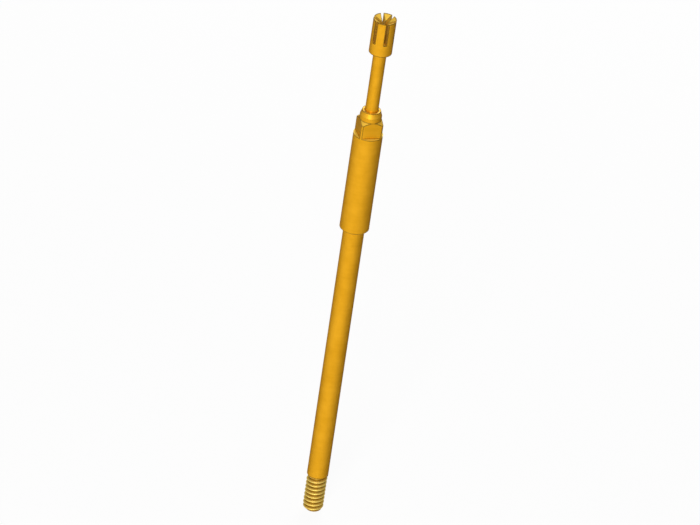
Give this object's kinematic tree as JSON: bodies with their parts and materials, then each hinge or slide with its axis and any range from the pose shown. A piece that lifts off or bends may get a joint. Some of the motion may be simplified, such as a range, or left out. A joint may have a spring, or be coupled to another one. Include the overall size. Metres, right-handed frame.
{
  "type": "spring contact probe",
  "caption": "Screw-in spring contact probe with a slotted, cupped contact head on a sprung plunger, a collared barrel with a wrench square, and a threaded tail.",
  "frame": {"origin": "on the probe's axis, at the collar's lower shoulder, which seats on the mouth of the socket", "axes": "+Z along the probe towards the contact head, -Y towards one flat of the wrench square and one slot of the head"},
  "size_m": [0.0024, 0.0024, 0.0444],
  "materials": {
    "plunger_gold": "gold plated, turned and polished",
    "collar_gold": "gold plated, turned, with milled flats",
    "tube_gold": "gold plated, turned tube",
    "stud_gold": "gold plated, cut thread",
    "spring_wire": "thinly plated spring steel wire"
  },
  "bodies": {
    "barrel": {"screw_collar": "collar_gold", "barrel_tube": "tube_gold", "thread_stud": "stud_gold", "return_spring": "spring_wire"},
    "plunger": {"plunger": "plunger_gold"}
  },
  "joints": [
    {"name": "plunger_slide", "type": "slide", "parent": "barrel", "child": "plunger", "axis": [0, 0, -1], "range_m": [0, 0.005], "stiffness_N_per_m": 400, "deforming": ["return_spring"]}
  ]
}
